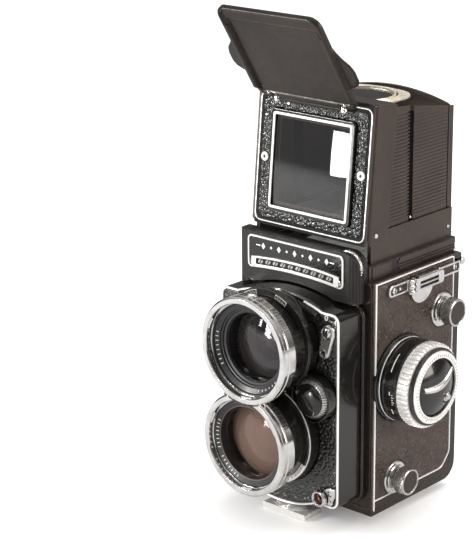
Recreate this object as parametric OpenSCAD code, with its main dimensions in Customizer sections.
// Twin lens reflex camera for 120 roll film, as an assembly of separate pieces.
// X runs across the camera, -Y is the lens side, Z is up.
// Origin: bottom face of the body, on the tripod socket axis.

/* [Body] */
// Width of the body between its two leather covered sides
body_w = 84; // [82:0.5:88]
// Distance from the origin axis to the body's front face
front_y = 34; // [33.6:0.1:34.4]
// Height of the body up to the hood seat
body_h = 120.5; // [120.3:0.1:120.7]
// Thickness of the leather covering
leather_t = 0.6; // [0.3:0.1:0.65]

/* [Lenses] */
// Height of the viewing lens axis
view_z = 89.4; // [88.8:0.1:90]
// Height of the taking lens axis
take_z = 41.4; // [41:0.1:42]
// Outer radius of the viewing lens bayonet ring
view_ring_r = 26.8; // [25.4:0.1:27]
// Outer radius of the taking lens bayonet ring
take_ring_r = 26; // [24.6:0.1:26.2]
// Distance the bayonet rings stand ahead of the lens panel
ring_reach = 27.3; // [26:0.1:28]

/* [Knobs] */
// Radius of the focus knob drum
drum_r = 20.9; // [19.8:0.1:21.2]
// Reach of the focus knob's grip ring from the body centre
knob_x = 55; // [54:0.5:56]
// Radius of the two spool knobs
spool_knob_r = 7.1; // [6:0.1:7.4]
// Radius of the wheels between the lenses
wheel_r = 10.7; // [10:0.1:10.7]

/* [Hood] */
// Lean of the raised hood lid, in degrees
hood_lean = 5.6; // [4.8:0.1:6.2]
// Height of the hood lid above its hinge
lid_h = 63; // [62.6:0.1:63.2]
// Opening angle of the front flap from its closed place, in degrees
flap_open = 141.5; // [120:0.5:150]

/* [Hidden] */
side = body_w/2;
front = -front_y;
panel_y = front - 19.5;       // front face of the lens panel
shutter_y = panel_y - 6.5;    // front face of the shutter housing
ring_y = panel_y - ring_reach; // front face of the bayonet rings
meter_y = -41.6;              // front face of the meter housing

// Axes along X, as [y, z]
knob_axis = [-12,67.4];
upper_spool = [20.8,94];
lower_spool = [-15.5,15.4];
crank_axis = [0,78];
roller_axis = [24.5,8.8];
door_hinge = [36.8,115.4];
latch_hinge = [-35.4,-1.7];
lid_hinge = [-26.1,141.3];
rear_hinge = [34.3,139.8];
// Hinges measured from the lid hinge, in the upright lid
flap_hinge = [-10,59];
magnifier_hinge = [-3.4,57.5];

// Axes along Y, as [x, z]
view_axis = [0,view_z];
take_axis = [0,take_z];
film_wheel = [29.6,127.2];
release_axis = [-28.5,15];
timer_axis = [31.8,99.5];
timer_tip = [29.6,89];
pc_axis = [28.6,14.2];
wheel_x = 24.6;
wheel_z = 65.4;
crank_pin = [-side-4.6,-11];  // axis along Z, as [x, y]

// Radii and clearances
fit = 0.06;        // around turning shafts
small_fit = 0.04;  // around lenses and the latch and door pins
shaft_r = 3;
spool_shaft_r = 2.5;
knob_flange_r = 21.75;
upper_flange_r = 8.9;
lower_flange_r = 8.6;
knob_neck_r = 18.74;
dome_r = 14.5;
view_glass_r = 17;
take_glass_r = 18.2;
rear_glass_r = 13;
magnifier_r = 17;
barrel_foot_r = 21;
bore_r = barrel_foot_r + 0.03;
panel_arc_z = 36.6;  // centre height of the panel's arched top
meter_arc_r = 237.8; // shallow arcs on the meter housing
// Filter seats: radius and depth
view_seat_r = 23.4;
view_seat_d = 3.8;
take_seat_r = 22.5;
take_seat_d = 3.2;
ring_len = 8.8;

// Film gate opening
gate_x = 28;
gate_bottom = 13.4;
gate_top = 69.4;
// Hinge heights of the two hood leaves
right_leaf_z = 137;
left_leaf_z = 138.4;

function grey(v) = [v,v,v];
steel = grey(0.8);
chrome = grey(0.82);
silver = grey(0.85);
leather = [0.1,0.08,0.07];
glass = [0.3,0.3,0.35,0.5];

// ---- shared shapes: each spans the given start and end coordinates ----
module box(x0,x1,y0,y1,z0,z1) translate([x0,y0,z0]) cube([x1-x0,y1-y0,z1-z0]);
module rod_x(x0,x1,yz,r,fn=64)
  translate([x0,yz[0],yz[1]]) rotate([0,90,0]) cylinder(h=x1-x0,r=r,$fn=fn);
module rod_y(y0,y1,xz,r,fn=96)
  translate([xz[0],y0,xz[1]]) rotate([-90,0,0]) cylinder(h=y1-y0,r=r,$fn=fn);
module rod_z(z0,z1,xy,r) translate([xy[0],xy[1],z0]) cylinder(h=z1-z0,r=r,$fn=64);
module tube_y(y0,y1,xz,outer,inner) difference() {
  rod_y(y0,y1,xz,outer);
  rod_y(y0-1,y1+1,xz,inner);
}
// Outline drawn in [y, z], extruded along X
module prism_x(x0,x1) translate([x0,0,0]) rotate([90,0,90]) linear_extrude(x1-x0) children();
// Outline drawn in [x, z], extruded along Y
module prism_y(y0,y1) translate([0,y1,0]) rotate([90,0,0]) linear_extrude(y1-y0) children();
module rounded(w,h,r) {
  square([w-2*r,h],center=true);
  square([w,h-2*r],center=true);
  for(a=[-1,1],b=[-1,1]) translate([a*(w/2-r),b*(h/2-r)]) circle(r=r,$fn=48);
}
// Plate facing Y with rounded corners, centred on X
module plate(y0,y1,w,z0,z1,r) prism_y(y0,y1) translate([0,(z0+z1)/2]) rounded(w,z1-z0,r);
module both() {
  children();
  mirror([1,0,0]) children();
}
// Disc along Z, spherical at z = 0 and flat at z = depth
module domed(r,depth,sphere_r) {
  steps = 10;
  rotate_extrude($fn=96) polygon(concat([[0,depth],[r,depth]],
    [for(i=[steps:-1:0]) let(x=r*i/steps) [x,sphere_r-sqrt(sphere_r*sphere_r-x*x)]]));
}
// Disc with its spherical face to the front
module lens(y,xz,r,depth,sphere_r)
  translate([xz[0],y,xz[1]]) rotate([-90,0,0]) domed(r,depth,sphere_r);
// Turn about an [y, z] hinge
module turn(hinge,angle)
  translate([0,hinge[0],hinge[1]]) rotate([angle,0,0])
  translate([0,-hinge[0],-hinge[1]]) children();

// ---- fixed body ----
module body_casting() color(grey(0.07)) difference() {
  union() {
    box(-side,side,front,22.6,2.6,body_h);
    box(-side,side,22,30.4,10.4,body_h);
    rod_x(-side,side,[22.6,10.4],7.8);
    box(-40.4,40.4,30.3,31.5,12,112);
    box(-side,side,30.3,35,117.6,body_h);
    both() rod_x(14.1,41.5,door_hinge,1.7);
    both() box(14.1,41.5,34.2,door_hinge[0]+0.6,116.2,119.4);
  }
  // mirror space, then the light path to the film gate
  prism_x(-31,31) polygon([[-30.5,61.2],[-30.5,body_h+1],[27,body_h+1],[27,118.7]]);
  rod_y(front-1,-30,view_axis,22);
  prism_x(-gate_x,gate_x) polygon([[-31,29.5],[-1,29.5],[0.5,24],
    [31.6,gate_bottom],[31.6,gate_top],[0,59.5],[-31,53]]);
  rod_y(front-1,-30.5,take_axis,18);
  // lower and upper spool chambers
  rod_x(-33,33,lower_spool,12.6);
  box(-31,31,lower_spool[0],31,2,6.5);
  box(-31,31,18,31,6,8.6);
  rod_x(-33,33,upper_spool,12.6);
  box(-31,31,upper_spool[0],32,82,96);
  // roller, shaft and hinge holes
  rod_x(-32.2,32.2,roller_axis,3.3);
  both() rod_x(32,34.1,roller_axis,0.8+fit);
  rod_x(35,side+1,knob_axis,shaft_r+fit);
  for(spool=[upper_spool,lower_spool]) rod_x(32.9,side+1,spool,spool_shaft_r+fit);
  rod_x(-side-1,-35,crank_axis,shaft_r+fit);
  rod_x(-40,-32.9,upper_spool,spool_shaft_r+fit);
  both() rod_x(14,43,door_hinge,0.8);
}
module reflex_mirror() color([0.8,0.82,0.85])
  prism_x(-30.5,30.5) polygon([[-28.5,65.5],[24.5,118.5],[25.58,117.42],[-27.42,64.42]]);
module focusing_screen() color([0.85,0.88,0.85]) box(-28.5,28.5,-30.5,27.5,121.5,122.7);
module hood_base() color(grey(0.08)) difference() {
  union() {
    box(-38.2,38.2,-32.6,36,body_h,127.5);
    box(-36.2,36.2,-16,35.65,127.4,142.4);
    both() box(35.5,36.2,-29,-15.9,127.4,140.6);
    both() box(34,36.2,-29,-22.8,127.4,lid_hinge[1]);
    both() rod_x(34,36.2,lid_hinge,2.9);
  }
  box(-27,27,-29,26,body_h-1,150);
  box(-28.7,28.7,-30.7,27.7,121.5,150);
  box(-33.9,33.9,-31,34.2,124.5,150);
  box(-35.5,35.5,-22.7,34.95,127.5,150);
  both() rod_x(33,37,lid_hinge,1.2+fit);
  rod_y(-24.4,36,[35.1,right_leaf_z],0.4,24);
  rod_y(-24.4,36,[-35.1,left_leaf_z],0.4,24);
  rod_x(-37,37,rear_hinge,0.4,24);
}
module front_plinth() color(grey(0.06)) difference() {
  union() {
    plate(-37,front,77.6,6,110.4,8);
    plate(-48,-36.9,70.8,10.8,106.5,3);
  }
  plate(-49,front+1,66.8,12.8,104.5,3);
}
// Block with rounded front corners only
module meter_block(z0,z1,back_y) {
  depth = back_y-meter_y;
  translate([0,0,z0]) linear_extrude(z1-z0) translate([0,(meter_y+back_y)/2]) intersection() {
    translate([0,3]) rounded(75,depth+6,4.5);
    square([76,depth],center=true);
  }
}
module meter_housing() color(grey(0.09)) {
  name_panel();
  difference() {
    union() {
      meter_block(110.5,body_h,front);
      meter_block(body_h,135,-32.8);
    }
    rod_y(-50,-30,[0,panel_arc_z],77.6);
    // round off the top corner around the film speed wheel
    difference() {
      box(film_wheel[0],40,-45,-30,film_wheel[1],136);
      rod_y(-46,-29,film_wheel,7.9);
    }
    rod_y(-38.6,-35.9,film_wheel,8.65);
    rod_y(-40,-34.6,film_wheel,1+fit);
  }
}
// Large disc whose highest point is at z = top
module arc_disc(y0,y1,top) rod_y(y0,y1,[0,top-meter_arc_r],meter_arc_r);
module name_panel() difference() {
  plate(-42,meter_y+0.01,60.4,116.8,133.8,2);
  arc_disc(-43,-40,118.8);
}
module cell_arc(y0,y1,half_w,bottom,top) intersection() {
  difference() {
    arc_disc(y0,y1,top);
    arc_disc(y0-1,y1+1,bottom);
  }
  box(-half_w,half_w,y0,y1,110,130);
}
module light_cell() color(grey(0.5)) cell_arc(-42.7,-42,24.4,120.5,123.4);
module cell_frame() color(steel) difference() {
  cell_arc(-42.9,-42,27.5,119.5,124.4);
  cell_arc(-43.5,-41.5,24.5,120.4,123.5);
}
module leather_outline()
  polygon([[-31.6,8.2],[22,8.2],[28.8,14.6],[28.8,119],[-31.6,119]]);
module side_leathers() color(leather) {
  difference() {
    prism_x(side,side+leather_t) leather_outline();
    rod_x(side-1,side+2,knob_axis,knob_flange_r+0.05);
    rod_x(side-1,side+2,upper_spool,upper_flange_r+0.05);
    rod_x(side-1,side+2,lower_spool,lower_flange_r+0.05);
  }
  difference() {
    prism_x(-side-leather_t,-side) leather_outline();
    rod_x(-side-2,-side+1,crank_axis,3.2);
  }
}
module lug_right() difference() {
  union() {
    box(side+0.66,side+2.2,-20.6,33,111.4,116);
    rod_x(side+0.66,side+2.2,[-20.6,113.7],2.3);
    rod_z(109.5,117,[side+3.2,-8.3],2.1);
    box(side+1,side+5,-5.5,14,110.6,116.4);
    intersection() {
      rod_x(side+0.66,side+1.6,[2,111.5],9);
      box(side,side+3,-9,12,100,111.6);
    }
  }
  // two grooves and a slot
  box(side+2.8,side+6,-2,12,111.8,112.9);
  box(side+2.8,side+6,-2,12,114,115.1);
  box(side+1.4,side+3,18,30,112.4,115);
}
module strap_lugs() color(chrome) both() lug_right();
// Disc on the +X side with a shaft hole
module flange(axis,thick,r,hole_r) difference() {
  rod_x(side,side+thick,axis,r);
  rod_x(side-1,side+4,axis,hole_r+fit);
}
module knob_flange() color(grey(0.05)) flange(knob_axis,2.3,knob_flange_r,shaft_r);
module spool_flanges() color(steel) {
  flange(upper_spool,1.5,upper_flange_r,spool_shaft_r);
  flange(lower_spool,1.5,lower_flange_r,spool_shaft_r);
}
module film_gate() color(grey(0.1)) difference() {
  union() {
    box(-31,31,31.55,32.1,12.2,73);
    both() box(29,31,32,32.35,12.2,73);
  }
  box(-gate_x,gate_x,30,34,gate_bottom,gate_top);
}
module film_roller_lower() color(grey(0.6)) {
  rod_x(-32,32,roller_axis,3);
  rod_x(-34,34,roller_axis,0.8);
}
module film_speed_wheel() color(steel) {
  rod_y(-38.5,-36,film_wheel,8.4);
  rod_y(-39.8,-34.7,film_wheel,1);
}
module back_hinge_pin() color(steel) {
  rod_x(-42.2,42.2,door_hinge,0.8);
  both() rod_x(41.6,43.2,door_hinge,1.8);
}

// ---- lens panel ----
// Flat sides, arched top and bowed bottom
module panel_solid(y0,y1,inset) union() {
  plate(y0,y1,74.6-2*inset,8.8+inset,108.5-inset,4-inset*0.5);
  intersection() {
    rod_y(y0,y1,[0,panel_arc_z],76.8-inset);
    box(-27+inset,27-inset,y0,y1,90,120);
  }
  intersection() {
    rod_y(y0,y1,[0,57.4],54.2-inset);
    box(-24+inset,24-inset,y0,y1,0,30);
  }
}
module shutter_foot(y0,y1,grow=0) union() {
  rod_y(y0,y1,view_axis,25+grow);
  rod_y(y0,y1,take_axis,25.5+grow);
  box(-20-grow,20+grow,y0,y1,take_z,view_z);
  for(s=[-1,1]) rod_y(y0,y1,[s*wheel_x,wheel_z],11.7+grow);
}
module standard_housing() color(grey(0.06)) difference() {
  panel_solid(panel_y,-37.05,0);
  plate(panel_y+2,-36,71.4,10.4,106.9,3);
  for(axis=[view_axis,take_axis]) rod_y(panel_y-1,panel_y+3,axis,bore_r);
  rod_y(panel_y-1,panel_y+3,release_axis,4.1);
  rod_y(panel_y-1,panel_y+3,timer_axis,1.5+fit);
}
module panel_leather() color(grey(0.08)) difference() {
  panel_solid(panel_y-0.5,panel_y,1.3);
  shutter_foot(panel_y-2,panel_y+2,0.1);
  rod_y(panel_y-1,panel_y+1,release_axis,4.1);
  rod_y(panel_y-1,panel_y+1,timer_axis,1.5+fit);
  rod_y(panel_y-1,panel_y+1,pc_axis,4.3);
}
module shutter_housing() color(grey(0.05)) difference() {
  shutter_foot(shutter_y,panel_y);
  for(s=[-1,1]) rod_y(panel_y-8,panel_y-2.7,[s*wheel_x,wheel_z],11.05);
  for(s=[-1,1]) rod_y(panel_y-8,panel_y+1,[s*wheel_x,wheel_z],2+fit);
  for(axis=[view_axis,take_axis]) rod_y(panel_y-8,panel_y+1,axis,bore_r);
}
module barrel(axis,r,glass_r) difference() {
  union() {
    rod_y(ring_y+8.85,shutter_y,axis,r);
    rod_y(panel_y-6.6,panel_y+2.9,axis,barrel_foot_r);
  }
  rod_y(ring_y,shutter_y,axis,glass_r+small_fit);
  rod_y(panel_y-7,panel_y+7,axis,rear_glass_r+small_fit);
}
module viewing_barrel() color(grey(0.05)) barrel(view_axis,23.3,view_glass_r);
module taking_barrel() color(grey(0.05)) barrel(take_axis,22.5,take_glass_r);
// Bayonet ring with a filter seat
module seat_ring(axis,r,seat_r,seat_d) difference() {
  rod_y(ring_y,ring_y+ring_len,axis,r);
  rod_y(ring_y-1,ring_y+seat_d,axis,seat_r);
  rod_y(ring_y+seat_d-0.5,ring_y+10,axis,seat_r-0.5);
}
// Ring behind the filter seat, tapering inward from front_r to back_r
module inner_ring(axis,seat_r,seat_d,front_r,back_r) difference() {
  rod_y(ring_y+seat_d,ring_y+ring_len,axis,seat_r-0.55);
  translate([axis[0],ring_y+seat_d-0.1,axis[1]]) rotate([-90,0,0])
    cylinder(h=ring_len-seat_d+0.2,r1=front_r,r2=back_r,$fn=96);
}
// Room for the viewing ring where it overlaps the taking ring
module notch() rod_y(ring_y-1,ring_y+20,view_axis,view_ring_r+0.08);
module viewing_ring() color(silver) seat_ring(view_axis,view_ring_r,view_seat_r,view_seat_d);
module viewing_inner_ring() color(grey(0.04))
  inner_ring(view_axis,view_seat_r,view_seat_d,20.4,17.1);
module taking_ring() color(silver) difference() {
  seat_ring(take_axis,take_ring_r,take_seat_r,take_seat_d);
  notch();
}
module taking_inner_ring() color(grey(0.04)) difference() {
  inner_ring(take_axis,take_seat_r,take_seat_d,20,18.2);
  notch();
}
module viewing_front_element() color(glass) lens(ring_y+10.4,view_axis,view_glass_r,6,42);
module viewing_rear_element() color(glass) lens(panel_y-2,view_axis,rear_glass_r,5,60);
module taking_front_element() color([0.5,0.4,0.35,0.5])
  lens(ring_y+9,take_axis,take_glass_r,6.5,44);
module taking_rear_element() color(glass) lens(panel_y-2,take_axis,rear_glass_r,5,60);
module aperture_ring() color(grey(0.1)) difference() {
  rod_y(ring_y+18.4,ring_y+20.2,take_axis,18.18);
  rod_y(ring_y+18,ring_y+21,take_axis,9.5);
}
module window_arch() color(grey(0.05)) intersection() {
  tube_y(panel_y-10.5,panel_y-6.55,view_axis,25,23.34);
  box(-40,40,panel_y-12,panel_y-6,view_z+6,130);
}
module pc_socket() color(steel) difference() {
  rod_y(panel_y-5.4,panel_y,pc_axis,4.2);
  rod_y(panel_y-6,panel_y-2,pc_axis,2.6);
}
module wheel(s) union() {
  rod_y(panel_y-7.8,panel_y-2.8,[s*wheel_x,wheel_z],wheel_r);
  rod_y(panel_y-3,panel_y-0.5,[s*wheel_x,wheel_z],2);
}
module aperture_wheel() color(steel) wheel(1);
module shutter_wheel() color(steel) wheel(-1);
module timer_lever() color(steel) difference() {
  union() {
    rod_y(panel_y-2.8,panel_y-0.7,timer_axis,3.6);
    rod_y(panel_y-2.8,panel_y-0.7,timer_tip,2.7);
    translate([30.7,0,94.25]) rotate([0,11.8,0])
      box(-2.6,2.6,panel_y-2.8,panel_y-0.7,-5.4,5.4);
    rod_y(panel_y-0.8,panel_y+1.9,timer_axis,1.5);
  }
  rod_y(panel_y-4,panel_y,timer_tip,1.3);
}
module release_button() color(chrome) rod_y(panel_y-5,panel_y+0.5,release_axis,4);
module release_guard() color(grey(0.1)) union() {
  tube_y(panel_y-2.7,panel_y-0.55,release_axis,6.2,4.08);
  box(-36,-34.4,panel_y-2.7,panel_y-0.55,13.6,16.4);
}

// ---- knobs on the +X side ----
module knob_drum() color(grey(0.05)) union() {
  rod_x(35.2,side+2.5,knob_axis,shaft_r);
  rod_x(side+2.4,knob_x,knob_axis,drum_r);
  rod_x(knob_x-0.1,knob_x+6.6,knob_axis,knob_neck_r);
  rod_x(knob_x+6.55,knob_x+8.2,knob_axis,19.4);
}
module knob_grip_ring() color(chrome) difference() {
  rod_x(knob_x+0.02,knob_x+6.5,knob_axis,21.2);
  rod_x(knob_x-1,knob_x+8,knob_axis,knob_neck_r+0.02);
}
module exposure_ring() color(silver) difference() {
  rod_x(knob_x+8.25,knob_x+9.6,knob_axis,18.1);
  rod_x(knob_x+8,knob_x+11,knob_axis,dome_r+fit);
}
module knob_dome() color(grey(0.05))
  translate([knob_x+13.1,knob_axis[0],knob_axis[1]]) rotate([0,-90,0]) domed(dome_r,4.88,32);
module spool_knob(axis) union() {
  rod_x(28,side+2,axis,spool_shaft_r);
  rod_x(side+1.55,side+4.2,axis,4.6);
  rod_x(side+4.1,side+10.2,axis,spool_knob_r);
}
module spool_knob_upper() color(chrome) spool_knob(upper_spool);
module spool_knob_lower() color(chrome) spool_knob(lower_spool);

// ---- film advance ----
module crank_hub() color(steel) difference() {
  union() {
    rod_x(-side-3.4,-side-0.7,crank_axis,13.4);
    rod_x(-side-1,-35.2,crank_axis,shaft_r);
    for(s=[-1,1]) box(-side-5.6,-side-3.3,-12.6,-9.4,78+s*5.2-1,78+s*5.2+1);
  }
  rod_z(70,86,crank_pin,0.6+fit);
}
module crank_arm() color(steel) union() {
  rod_z(74.3,81.7,crank_pin,1.1);
  rod_z(72,84,crank_pin,0.6);
  box(-side-5.7,-side-3.9,-11,19,75.2,80.8);
  rod_x(-side-5.7,-side-3.9,[19,78],4.2);
  rod_x(-side-4,-side-0.8,[19,78],3.6);
}
module take_up_key() color(grey(0.7)) union() {
  rod_x(-39.6,-32.6,upper_spool,spool_shaft_r);
  rod_x(-32.8,-31,upper_spool,8);
  box(-31.1,-28,upper_spool[0]-3,upper_spool[0]+3,upper_spool[1]-1,upper_spool[1]+1);
}

// ---- hinged back ----
module back_door() color(grey(0.07)) difference() {
  union() {
    difference() {
      union() {
        box(-side,side,front+0.2,26,0,20);
        box(-side,side,20,35,9,113.5);
        rod_x(-side,side,[26,9],9);
      }
      // room for the body, then for its narrower raised back
      box(-side-1,side+1,-40,22.6,2.4,130);
      box(-side-1,side+1,-40,30.6,10.4,130);
      rod_x(-side-1,side+1,[22.6,10.4],8);
      box(-40.9,40.9,-40,26,2.4,130);
      box(-40.9,40.9,20,34,10.4,130);
      rod_x(-40.9,40.9,[26,10.4],8);
    }
    rod_x(-13.9,13.9,door_hinge,1.7);
    box(-13.9,13.9,34.4,door_hinge[0]+0.6,111,door_hinge[1]);
    both() box(9.2,11.2,-37.2,-32,-3.4,0.5);
    both() rod_z(-5,0.5,[30,20],3.2);
  }
  rod_x(-15,15,door_hinge,0.8+small_fit);
  rod_z(-1,3,[0,0],6);
  rod_x(-13,13,latch_hinge,0.8+small_fit);
}
module rear_leather() color(leather) plate(35,35+leather_t,76,12,108,3);
module tripod_socket() color(steel) difference() {
  union() {
    rod_z(-2.5,0,[0,0],8.5);
    rod_z(-0.1,2.4,[0,0],5.98);
  }
  rod_z(-3,3,[0,0],2.6);
}
module back_latch() color(chrome) union() {
  rod_x(-9.1,9.1,latch_hinge,1.6);
  rod_x(-11.3,11.3,latch_hinge,0.8);
  box(-9,9,-40,latch_hinge[0],-3.3,-1.9);
  plate(-51,-38.2,27.6,-5,-1.9,0.8);
}
module pressure_plate() color(grey(0.1)) union() {
  box(-31,31,32.45,33,14,69);
  both() box(10,14,32.9,33.25,20,62);
}

// ---- hood ----
// Place parts measured from the lid hinge
module on_lid()
  translate([0,lid_hinge[0],lid_hinge[1]]) rotate([-hood_lean,0,0]) children();
module hood_lid() color(grey(0.08)) on_lid() difference() {
  union() {
    box(-37,37,-6.2,-5.2,-5.3,lid_h);
    both() box(36.3,37,-6.2,9,-5.3,lid_h);
    box(-37,37,-6.2,9,lid_h-0.7,lid_h);
    both() rod_x(34.2,36.5,[0,0],1.2);
    both() box(19.6,21.6,flap_hinge[0],-6,flap_hinge[1]-1.1,flap_hinge[1]+1.1);
    both() rod_x(19.6,21.6,flap_hinge,1.4);
    both() box(22.6,24,-5.3,-2.6,56.1,58.9);
    both() rod_x(22.6,24,magnifier_hinge,1.3);
  }
  box(-22,22,-8,-4,7,49.5);
  rod_x(-22.6,22.6,flap_hinge,0.7+fit);
  both() rod_x(22,25,magnifier_hinge,0.7+fit);
}
module window_frame() color([0.9,0.9,0.88]) on_lid() difference() {
  plate(-8.8,-6.2,49.8,4,52.3,1);
  plate(-9,-6,46.4,5.7,50.6,0.5);
}
module finder_lens() color([0.6,0.65,0.7,0.4]) on_lid() box(-22.95,22.95,-8.1,-6.3,5.95,50.35);
module flap_closed() union() {
  difference() {
    union() {
      plate(-9.8,-6.4,62,0.9,57.2,5);
      both() prism_y(-9.8,-8.9)
        polygon([[28,44],[31,45.5],[38.5,40],[38.6,30],[34,22],[28,20]]);
    }
    plate(-9.05,-6,58,2.4,56,4);
    box(-40,40,-9,-6,53.5,60);
    both() box(19.3,21.9,-10,-6,54.5,60);
  }
  rod_x(-19.3,19.3,flap_hinge,1.4);
  rod_x(-21.7,21.7,flap_hinge,0.7);
  box(-19.3,19.3,-9.8,-9,55,flap_hinge[1]);
}
module sports_flap() color(grey(0.07)) on_lid() turn(flap_hinge,-flap_open) flap_closed();
// Magnifier swung out level from the leaning lid
module on_magnifier() on_lid() turn(magnifier_hinge,90+hood_lean) children();
module magnifier() color([0.9,0.88,0.8]) on_magnifier() difference() {
  union() {
    plate(-4.6,-2.4,44,5,56.4,14);
    rod_x(-22.3,22.3,magnifier_hinge,1.1);
    rod_x(-23.9,23.9,magnifier_hinge,0.7);
    box(-20,20,-4.4,-2.5,53,57.5);
  }
  rod_y(-6,0,[0,27],magnifier_r+small_fit);
}
module magnifier_lens() color([0.7,0.75,0.8,0.4])
  on_magnifier() lens(-5,[0,27],magnifier_r,2.9,80);
module rear_panel() color(grey(0.08)) union() {
  intersection() {
    box(-34.4,34.4,34,34.6,139.9,210);
    rod_y(30,36,[0,83],116.5);
  }
  rod_x(-36,36,rear_hinge,0.35);
  box(-34.4,34.4,34,34.6,139.6,140.2);
}
// Two panels on one hinge rod at height z
module leaf(z) union() {
  prism_x(34.8,35.4) polygon([[-22.3,z],[1.5,z],[1.5,199.6],[-22.3,201.8]]);
  prism_x(34.8,35.4) polygon([[4,z],[33.4,z],[33.4,194],[4,198.5]]);
  rod_y(-24,35.5,[35.1,z],0.35,24);
}
module side_leaf_right() color(grey(0.09)) leaf(right_leaf_z);
module side_leaf_left() color(grey(0.09)) mirror([1,0,0]) leaf(left_leaf_z);

body_casting();
reflex_mirror();
focusing_screen();
hood_base();
front_plinth();
meter_housing();
light_cell();
cell_frame();
side_leathers();
strap_lugs();
knob_flange();
spool_flanges();
film_gate();
film_roller_lower();
film_speed_wheel();
back_hinge_pin();
standard_housing();
panel_leather();
shutter_housing();
viewing_barrel();
viewing_ring();
viewing_inner_ring();
viewing_front_element();
viewing_rear_element();
taking_barrel();
taking_ring();
taking_inner_ring();
taking_front_element();
taking_rear_element();
aperture_ring();
window_arch();
pc_socket();
aperture_wheel();
shutter_wheel();
timer_lever();
release_button();
release_guard();
knob_drum();
knob_grip_ring();
exposure_ring();
knob_dome();
spool_knob_upper();
spool_knob_lower();
crank_hub();
crank_arm();
take_up_key();
back_door();
rear_leather();
tripod_socket();
back_latch();
pressure_plate();
hood_lid();
window_frame();
finder_lens();
sports_flap();
magnifier();
magnifier_lens();
rear_panel();
side_leaf_right();
side_leaf_left();
